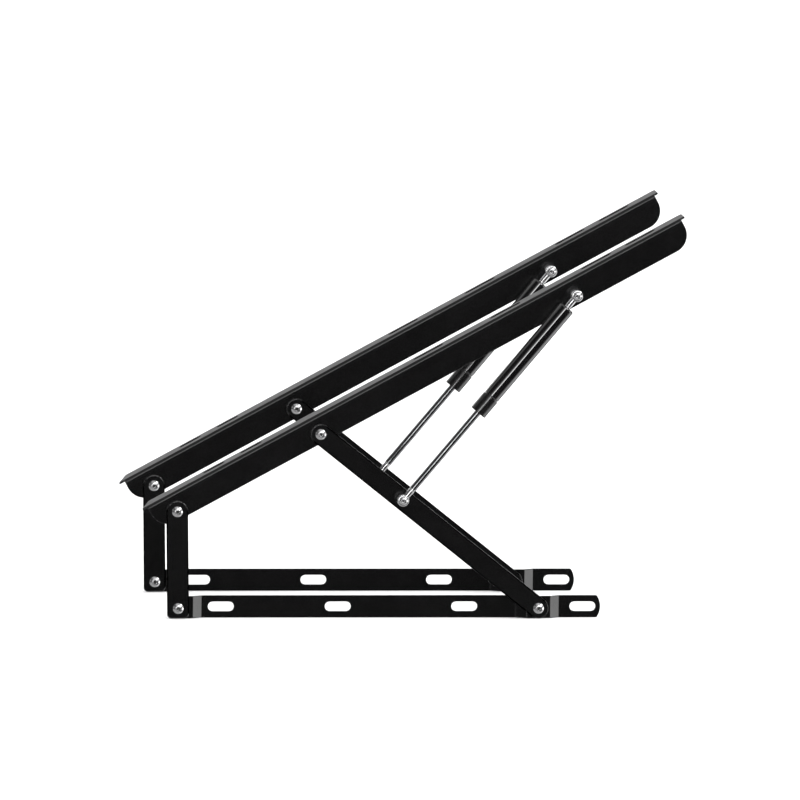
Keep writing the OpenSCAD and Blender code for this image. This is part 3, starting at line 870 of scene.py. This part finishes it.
# %% Tubes, sleeves and rods
TUBE_WALL = 1.5 * MM
TUBE_END = 6 * MM
TUBE_ROUND = 3 * MM
TUBE_RIM = 0.6
ROLLED_W = 2 * MM
ROLLED_DEPTH = 0.8 * MM
ROLLED_SLOPE = 0.6 * MM
ROLLED_SHOULDER = 0.7 * MM
ROLLED_ROOT = 0.9 * MM
ROLLED_END = 0.5 * MM
ROLLED_STEP = 1 * MM
MOUTH_EDGE = 0.5 * MM
MOUTH_BREAK = 0.3 * MM
SLEEVE_BREAK = 0.1 * MM
SLEEVE_EDGE = 0.4 * MM
SLEEVE_ROUND = 0.9 * MM
LIP_CLEAR = 0.5 * MM
LIP_BREAK = 0.3 * MM
ROD_BREAK = 0.3 * MM
ROD_RIM = 0.9


def stations(node, centre, axis):
    """For all vertices of a node, the part along an axis and the length of what is left beside it."""
    offset = node_points(node) - centre
    s = offset @ axis
    return s, np.linalg.norm(offset - s[:, None] * axis, axis=1)


for side, spot in at.items():
    length, axis = link(side, "gas_top", "gas_low")
    start = spot["gas_top"] + GAS_LAYER * OUT
    s, r = stations(f"{side}_gas_tube", start, axis)
    tube_r = r.max()
    tube_top = s[r > TUBE_RIM * tube_r].min()
    mouth = s.max()
    bore = tube_r - TUBE_WALL
    s, r = stations(f"{side}_gas_sleeve", start, axis)
    sleeve_r, sleeve_top, sleeve_end = r.max(), s.min(), s.max()
    s, r = stations(f"{side}_gas_rod", start, axis)
    rod_r = r.max()
    full = s[r > ROD_RIM * rod_r]
    rod_start, rod_end = full.min(), full.max()
    groove_r = tube_r - ROLLED_DEPTH
    bottom = tube_top + TUBE_END
    tube = rounded([
        (0, tube_top, 0), (tube_r, tube_top, TUBE_ROUND),
        (tube_r, sleeve_top - ROLLED_W - ROLLED_SLOPE, ROLLED_SHOULDER),
        (groove_r, sleeve_top - ROLLED_W / 2, ROLLED_ROOT),
        (groove_r, sleeve_top + ROLLED_END, 0), (tube_r, sleeve_top + ROLLED_STEP, 0),
        (tube_r, mouth, MOUTH_EDGE), (bore, mouth, MOUTH_BREAK), (bore, bottom, 0), (0, bottom, 0),
    ])
    sleeve_bore = tube_r + BORE_CLEAR
    lip_r = rod_r + LIP_CLEAR
    sleeve = rounded([
        (sleeve_bore, sleeve_top, SLEEVE_BREAK), (sleeve_r, sleeve_top, SLEEVE_EDGE),
        (sleeve_r, sleeve_end, SLEEVE_ROUND), (lip_r, sleeve_end, LIP_BREAK),
        (lip_r, mouth, 0), (sleeve_bore, mouth, 0),
    ])
    rod = rounded([(0, rod_start, 0), (rod_r, rod_start, 0), (rod_r, rod_end, ROD_BREAK), (0, rod_end, 0)])
    for node, name, surfaces in (
        ("gas_tube", "tube_drawn", [lathe(tube, start, axis)]),
        ("gas_sleeve", "sleeve_moulded", [lathe(sleeve, start, axis, closed=True)]),
        ("gas_rod", "rod_ground", [lathe(rod, start, axis)]),
        ("gas_top_eye", "upper_eye", eye_surfaces(spot["gas_top"], axis, tube_top)),
        ("gas_low_eye", "lower_eye", eye_surfaces(spot["gas_low"], -axis, length - rod_end)),
    ):
        piece_for(f"{side}_{node}", f"{side}_{name}", surfaces)
print(f"gas springs: tube {2 * tube_r / MM:.1f} mm, rod {2 * rod_r / MM:.1f} mm")

# %% [markdown]
# ## Sheet parts
# Rails and levers are cut flat, punched and bent. Boolean cuts in a block would leave long thin faces round
# the holes, on which a rolled edge breaks up. So they are made as the real ones are: a flat blank as a grid
# whose ends follow the outline, with rings of quads round every hole, then a fold that carries the blank's
# front face into place. A thickness is added behind it and its edges are rolled over, as punched and
# coated edges are.

# %% Rows and columns
HOLE_MARGIN = 3 * MM
TINY = 1e-6
DIGITS = 8


def stops(breaks, step):
    """Rising positions through all breaks, no more than a step apart."""
    breaks = np.unique(np.round(np.array(breaks, float), DIGITS))
    pairs = zip(breaks[:-1], breaks[1:])
    parts = [np.linspace(a, b, max(1, math.ceil((b - a) / step - TINY)), endpoint=False) for a, b in pairs]
    return np.concatenate(parts + [breaks[-1:]])


def sine_rows(low, high, breaks, step):
    """Rows from low to high through the breaks, closer towards both edges: middle + half sin a, a even."""
    middle, half = (low + high) / 2, (high - low) / 2
    angles = np.arcsin(np.clip((np.array([low, *breaks, high]) - middle) / half, -1, 1))
    return middle + half * np.sin(stops(angles, step))


def hole_columns(holes):
    """Columns at which the blocks round the holes start and end."""
    return [x + sign * (half + r + HOLE_MARGIN) for x, _, half, r in holes for sign in (-1, 1)]


def hole_rows(holes):
    """Rows at which the blocks round the holes start and end."""
    return [v + sign * (r + HOLE_MARGIN) for _, v, _, r in holes for sign in (-1, 1)]


print(f"blocks reach {HOLE_MARGIN / MM:.1f} mm past the holes")

# %% Blanks
HOLE_RINGS = 3


def corner(depth, radius):
    """How far a rounded corner draws the end in, at a depth from the edge.

    It is radius - sqrt(radius^2 - short^2), short being what the depth lacks of the radius.
    """
    short = np.clip(radius - depth, 0, radius)
    return radius - np.sqrt(radius ** 2 - short ** 2)


def blank(columns, rows, ends, zone, holes):
    """Flat blank as points (x, v) and quads.

    For each v, ends gives the first and last x of the grid and how far each of them is drawn in to the
    outline; the columns follow over the length of the zone, and cells past the ends are left out. A hole
    (x, v, half, r) is a slot of half length half + r. The cells round it give way to rings: from a point p
    of the block's edge they go to the rim at c + r (p - c) / |p - c|, c being the point of the slot's
    middle line nearest to p.
    """
    x, v = np.meshgrid(columns, rows, indexing="ij")
    first, last, in_first, in_last = ends(v)
    by_first = np.clip(1 - (x - first) / zone, 0, 1)
    by_last = np.clip(1 - (last - x) / zone, 0, 1)
    flat = np.stack([x + by_first * in_first - by_last * in_last, v], -1).reshape(-1, 2)
    index = np.arange(len(flat)).reshape(x.shape)
    cell_x, cell_v = (x[:-1, :-1] + x[1:, 1:]) / 2, (v[:-1, :-1] + v[1:, 1:]) / 2
    first, last, *_ = ends(cell_v)
    solid = (cell_x > first) & (cell_x < last)
    points, quads, count = [flat], [], len(flat)
    for hole_x, hole_v, half, radius in holes:
        far = radius + HOLE_MARGIN + TINY
        i0, i1 = np.searchsorted(columns, [hole_x - half - far, hole_x + half + far - 2 * TINY])
        j0, j1 = np.searchsorted(rows, [hole_v - far, hole_v + far - 2 * TINY])
        solid[i0:i1, j0:j1] = False
        edge = np.concatenate([index[i0:i1, j0], index[i1, j0:j1], index[i1:i0:-1, j1], index[i0, j1:j0:-1]])
        outer = flat[edge]
        nearest = hole_x + np.clip(outer[:, 0] - hole_x, -half, half)
        centre = np.column_stack([nearest, np.full(len(outer), hole_v)])
        rim = centre + radius * unit(outer - centre)
        share = np.linspace(0, 1, HOLE_RINGS + 1)[1:, None, None]
        rings = outer + share * (rim - outer)
        ids = np.vstack([edge, count + np.arange(HOLE_RINGS * len(edge)).reshape(HOLE_RINGS, -1)])
        ids = np.column_stack([ids, ids[:, 0]])
        points.append(rings.reshape(-1, 2))
        quads.append(grid_quads(ids.T))
        count += HOLE_RINGS * len(edge)
    quads.append(grid_quads(index)[solid.ravel()])
    used, quads = np.unique(np.concatenate(quads), return_inverse=True)
    return np.concatenate(points)[used], quads.reshape(-1, 4)


print(f"{HOLE_RINGS} rings of quads round each hole")

# %% Rims
EDGE_STEPS = 3
EDGE_ANGLE = math.radians(50)
RIM_FINISH = 1


def rim_quads(quads, count):
    """Quads that join the edges used only once in a front face to those of its back, count points later."""
    edges = np.stack([quads, np.roll(quads, -1, 1)], -1).reshape(-1, 2)
    _, place, uses = np.unique(np.sort(edges, 1), axis=0, return_index=True, return_counts=True)
    a, b = edges[place[uses == 1]].T
    return np.stack([b, a, a + count, b + count], 1)


def sheet_piece(node, name, flat, fold, thickness, edge):
    """Folds a blank's front face into place, sets a back face behind it and rolls the edges between them."""
    points, quads = flat
    front, normal = fold(*points.T)
    back = front - thickness * normal
    own = np.column_stack([points, np.zeros(len(points))])
    faces = np.concatenate([quads, quads[:, ::-1] + len(points), rim_quads(quads, len(points))])
    surface = (np.vstack([front, back]), faces, np.vstack([own, own]), np.tile(points[:, 0], 2))
    piece = piece_for(node, name, [surface])
    roll = piece.modifiers.new("rolled_edges", "BEVEL")
    roll.width = edge
    roll.segments = EDGE_STEPS
    roll.limit_method = "ANGLE"
    roll.angle_limit = EDGE_ANGLE
    roll.use_clamp_overlap = False
    roll.loop_slide = False
    roll.harden_normals = True
    roll.material = RIM_FINISH
    return piece


print(f"edges rolled in {EDGE_STEPS} steps")

# %% [markdown]
# ### Levers
# Flat bars with a rivet hole at each end. The front lever is round at both ends and has a third hole for the
# gas spring's pin; the rear one has a square foot with rounded corners. One function makes both, because they
# differ only in width, holes and foot, and its fold lays the blank along the line of the pivots.

# %% Levers
LEVER_T = LEVER_FRONT - LEVER_BACK
LEVER_EDGE = 1.8 * MM
FRONT_W = 30 * MM
REAR_W = 32 * MM
REAR_FOOT = (14.5 * MM, 6 * MM)
RIVET_RUN = RIVET_R + RUN_CLEAR
FRONT_HOLES = {"front_top": RIVET_RUN, "gas_low": PIN_FIT, "front_low": RIVET_RUN}
REAR_HOLES = {"rear_low": RIVET_RUN, "rear_top": RIVET_FIT}
LEVER_ZONE = 40 * MM
COLUMN_STEP = 5 * MM
ROW_ANGLE = math.radians(9)


def lever_piece(side, lever, width, hole_radii, foot=None):
    """A lever through points of its unit, with a hole of the given radius at each.

    The first and the last point are its pivots. Its first end is round, or square with that foot and corner.
    """
    node = f"{side}_{lever}"
    half = width / 2
    first, *_, last = hole_radii
    start = at[side][first]
    length, along = link(side, first, last)
    across = np.cross(OUT, along)
    tail, tail_corner = foot or (half, half)
    holes = [(link(side, first, point)[0], 0, 0, radius) for point, radius in hole_radii.items()]

    def ends(v):
        """Both ends of a row, drawn in by their corners."""
        edge = half - np.abs(v)
        return -tail, length + half, corner(edge, tail_corner), corner(edge, half)

    def fold(x, v):
        """A flat face: x runs along the pivots' line, v across it."""
        front = start + LEVER_FRONT * OUT + x[:, None] * along + v[:, None] * across
        return front, np.broadcast_to(OUT, front.shape)

    columns = stops([-tail, length + half, *hole_columns(holes)], COLUMN_STEP)
    rows = sine_rows(-half, half, hole_rows(holes), ROW_ANGLE)
    flat = blank(columns, rows, ends, LEVER_ZONE, holes)
    return sheet_piece(node, f"{node}_plate", flat, fold, LEVER_T, LEVER_EDGE)


for side in SIDES:
    lever_piece(side, "rear_lever", REAR_W, REAR_HOLES, REAR_FOOT)
    lever_piece(side, "front_lever", FRONT_W, FRONT_HOLES)
print(f"front levers {link('near', 'front_top', 'front_low')[0] / MM:.1f} mm between pivots")

# %% [markdown]
# ### Lower rail
# A flat strip with four screw slots. Joggles bring its two pivots forward, so that there is room behind for
# the rivets' closed ends. A bevelled curve could carry a plain strip, but not one with slots, so the blank is
# folded along a path. That is worked out as in bending: the heading changes evenly within a bend and stays in
# between, and the place is the sum of small steps along the heading.

# %% Joggled path
BEND_R = 5 * MM
JOGGLE_RUN = 14.5 * MM
REAR_FLAT = 21.5 * MM
FRONT_FLAT = 17 * MM
PATH_STEP = 0.05 * MM


def joggle_path(tail, nose, span, depth):
    """Front face of the joggled strip in plan: run, heading, x and y at small steps.

    Each bend turns by the slope of a joggle on a radius of bend radius or bend radius less the sheet,
    as it turns back or forward; it starts radius tan(slope / 2) before the corner of its two flats.
    """
    slope = math.atan2(depth, JOGGLE_RUN)
    ramps = [(REAR_FLAT, 1), (span - FRONT_FLAT - JOGGLE_RUN, -1), (span + FRONT_FLAT, 1)]
    corners, headings = [(-tail, 0.0)], [0.0]
    for x, way in ramps:
        low, high = (0.0, depth) if way > 0 else (depth, 0.0)
        corners += [(x, low), (x + JOGGLE_RUN, high)]
        headings += [way * slope, 0.0]
    corners = np.array(corners + [(nose, depth)])
    headings = np.array(headings)
    turns = np.diff(headings)
    radius = np.where(turns > 0, BEND_R, BEND_R - RAIL_T)
    setback = radius * math.tan(slope / 2)
    chords = np.linalg.norm(np.diff(corners, axis=0), axis=1)
    flats = chords - np.pad(setback, (0, 1)) - np.pad(setback, (1, 0))
    lengths = np.zeros(2 * len(flats) - 1)
    lengths[0::2] = flats
    lengths[1::2] = radius * slope
    marks = np.concatenate([[0], np.cumsum(lengths)])
    run = np.linspace(0, marks[-1], math.ceil(marks[-1] / PATH_STEP) + 1)
    heading = np.interp(run, marks, np.repeat(headings, 2))
    halfway = (heading[:-1] + heading[1:]) / 2
    steps = (run[1] - run[0]) * np.array([np.cos(halfway), np.sin(halfway)])
    x, y = np.pad(np.cumsum(steps, axis=1), ((0, 0), (1, 0)))
    return run, heading, x - tail, y


print(f"bends on a radius of {BEND_R / MM:.1f} mm")

# %% Lower rail
RAIL_EDGE = 0.5 * MM
BASE_CORNER = 8 * MM
BASE_BOW = 28 * MM
BASE_SLOTS = np.array([64, 235, 420, 593]) * MM
BASE_SLOT = (38 * MM, 14 * MM)
BASE_ZONE = 20 * MM
FINE_STEP = 0.6 * MM
FINE_REACH = 3 * MM
FINE_DIGITS = 7


def lower_rail_piece(side):
    """The lower rail of one unit, from its rear pivot."""
    node = f"{side}_lower_rail"
    start = at[side]["rear_low"]
    low, high = (np.array(end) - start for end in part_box(node))
    span, _ = link(side, "rear_low", "front_low")
    middle = (low[2] + high[2]) / 2
    run, heading, path_x, path_y = joggle_path(-low[0], high[0], span, high[1] - low[1] - RAIL_T)

    def run_at(x):
        """Run along the strip at a place of the plan."""
        return np.interp(x, path_x, run)

    def ends(v):
        """Both ends of a row, drawn in by their corners, and the front one by a large arc too."""
        edge = np.minimum(v - low[2], high[2] - v)
        bow = BASE_BOW - np.sqrt(BASE_BOW ** 2 - (v - middle) ** 2)
        rounding = corner(edge, BASE_CORNER)
        return 0, run[-1], rounding, np.maximum(bow, rounding)

    def fold(s, v):
        """The strip follows its path in plan; the normal stands square to the heading."""
        plan = np.column_stack([np.interp(s, run, path_x), np.interp(s, run, path_y), v])
        turn = np.interp(s, run, heading)
        normal = np.column_stack([np.sin(turn), -np.cos(turn), np.zeros_like(turn)])
        return start + plan, normal

    slot_l, slot_w = BASE_SLOT
    holes = [(run_at(x), middle, (slot_l - slot_w) / 2, slot_w / 2) for x in BASE_SLOTS]
    holes += [(run_at(x), 0, 0, RIVET_FIT) for x in (0, span)]
    bends = [run_at(x + d) for x in (REAR_FLAT, span - FRONT_FLAT - JOGGLE_RUN, span + FRONT_FLAT)
             for d in (-BEND_R, 0, BEND_R, JOGGLE_RUN - BEND_R, JOGGLE_RUN, JOGGLE_RUN + BEND_R)]
    columns = stops([0, run[-1], *hole_columns(holes)], COLUMN_STEP)
    fine = stops(bends, FINE_STEP)
    near_bend = np.abs(fine[:, None] - np.array(bends)[None]).min(1) < FINE_REACH
    columns = np.unique(np.round(np.concatenate([columns, fine[near_bend]]), FINE_DIGITS))
    rows = sine_rows(low[2], high[2], hole_rows(holes), ROW_ANGLE)
    flat = blank(columns, rows, ends, BASE_ZONE, holes)
    return sheet_piece(node, f"{node}_strip", flat, fold, RAIL_T, RAIL_EDGE)


lower_rails = [lower_rail_piece(side) for side in SIDES]
print(f"lower rail blank of {len(lower_rails[0].data.vertices)} points")

# %% [markdown]
# ### Top rail
# An angle: the web carries the pivots and the flange, bent back from its upper edge, carries the load.
# Two plates could be joined at the edge, but a real angle has a round bend there that catches the light. So
# the slots of the flange and the large corners of the web are cut in one flat blank. The fold then keeps the
# web upright, turns the strip between them over the bend and lays the flange back.

# %% Top rail
WEB_INSETS = (9 * MM, 6 * MM)
WEB_CORNER = 27 * MM
FLANGE_CUT = 16 * MM
FLANGE_CORNER = 5 * MM
FLANGE_SLOT_W = 12 * MM
FLANGE_SLOT_Y = 26 * MM
SHORT_SLOTS = [(x * MM, 36 * MM) for x in (78, 140)]
LONG_SLOTS = [(x * MM, 50 * MM) for x in (70, 143, 293, 420)]
RAIL_ZONE = 60 * MM
NOTCH_ANGLE = math.radians(50)
FLANGE_FACING = 0.98
FLANGE_FINISH = 2


def top_rail_piece(side):
    """The top rail of one unit, from its rear pivot along the line of its pivots."""
    node = f"{side}_top_rail"
    spot = at[side]
    span, along = link(side, "rear_top", "front_top")
    rise = np.cross(OUT, along)
    local = (node_points(node) - spot["rear_top"]) @ np.array([along, BACK, rise]).T
    (left_x, _, bottom), (right_x, depth, top_z) = local.min(0), local.max(0)
    web = top_z - BEND_R - bottom
    bent = BEND_R * TAU / 4
    flange = depth - BEND_R

    def section(v):
        """Angle over the bend, depth and height at a run v up the web, round the bend and back.

        In the bend the angle a grows evenly, the depth is R (1 - cos a) and the rise R sin a.
        """
        angle = np.clip((v - web) / BEND_R, 0, TAU / 4)
        y = BEND_R * (1 - np.cos(angle)) + np.clip(v - web - bent, 0, None)
        return angle, y, bottom + np.minimum(v, web) + BEND_R * np.sin(angle)

    def ends(v):
        """Both ends of a row: the web's lie further in and have large corners, the flange's are cut."""
        angle, y, _ = section(v)
        is_web = angle < NOTCH_ANGLE - TINY
        lower = corner(v, WEB_CORNER)
        in_first = np.where(is_web, lower, FLANGE_CUT * y / depth)
        in_last = np.where(is_web, lower, corner(depth - y, FLANGE_CORNER))
        return left_x + WEB_INSETS[0] * is_web, right_x - WEB_INSETS[1] * is_web, in_first, in_last

    def fold(x, v):
        """The section carried along the rail; the normal turns with the bend."""
        angle, y, z = (part[:, None] for part in section(v))
        front = spot["rear_top"] + x[:, None] * along + y * BACK + z * rise
        return front, np.cos(angle) * OUT + np.sin(angle) * rise

    pin = spot["gas_top"] - spot["rear_top"]
    web_holes = [(x, -bottom, 0, RIVET_FIT) for x in (0, span)]
    web_holes += [(pin @ along, pin @ rise - bottom, 0, PIN_FIT)]
    slot_v = web + bent + FLANGE_SLOT_Y - BEND_R
    slots = SHORT_SLOTS + [(right_x - x, length) for x, length in LONG_SLOTS]
    slot_holes = [(x, slot_v, (length - FLANGE_SLOT_W) / 2, FLANGE_SLOT_W / 2) for x, length in slots]
    holes = web_holes + slot_holes
    web_ends = [left_x + WEB_INSETS[0], right_x - WEB_INSETS[1]]
    columns = stops([left_x, right_x, *web_ends, *hole_columns(holes)], COLUMN_STEP)
    in_web = [v for v in hole_rows(web_holes) if v < WEB_CORNER]
    web_angles = np.arccos(1 - np.array([0, *in_web, WEB_CORNER]) / WEB_CORNER)
    rows = np.concatenate([
        WEB_CORNER * (1 - np.cos(stops(web_angles, ROW_ANGLE))),
        stops([WEB_CORNER, web], COLUMN_STEP),
        web + BEND_R * stops([0, NOTCH_ANGLE, TAU / 4], ROW_ANGLE),
        stops([web + bent, web + bent + flange - FLANGE_CORNER, *hole_rows(slot_holes)], COLUMN_STEP),
        web + bent + flange - FLANGE_CORNER * (1 - np.sin(stops([0, TAU / 4], ROW_ANGLE * 2))),
    ])
    rows = np.unique(np.round(rows, DIGITS))
    flat = blank(columns, rows, ends, RAIL_ZONE, holes)
    piece = sheet_piece(node, f"{node}_angle", flat, fold, RAIL_T, RAIL_EDGE)
    on_flange = read_rows(piece.data.polygons, "normal", 3) @ rise > FLANGE_FACING
    piece.data.polygons.foreach_set("material_index", FLANGE_FINISH * on_flange.astype(np.int32))
    return piece


top_rails = [top_rail_piece(side) for side in SIDES]
print(f"top rail blank of {len(top_rails[0].data.vertices)} points")

# %% [markdown]
# ## Update
# The view layer is brought up to date at the end.

# %% Update
bpy.context.view_layer.update()
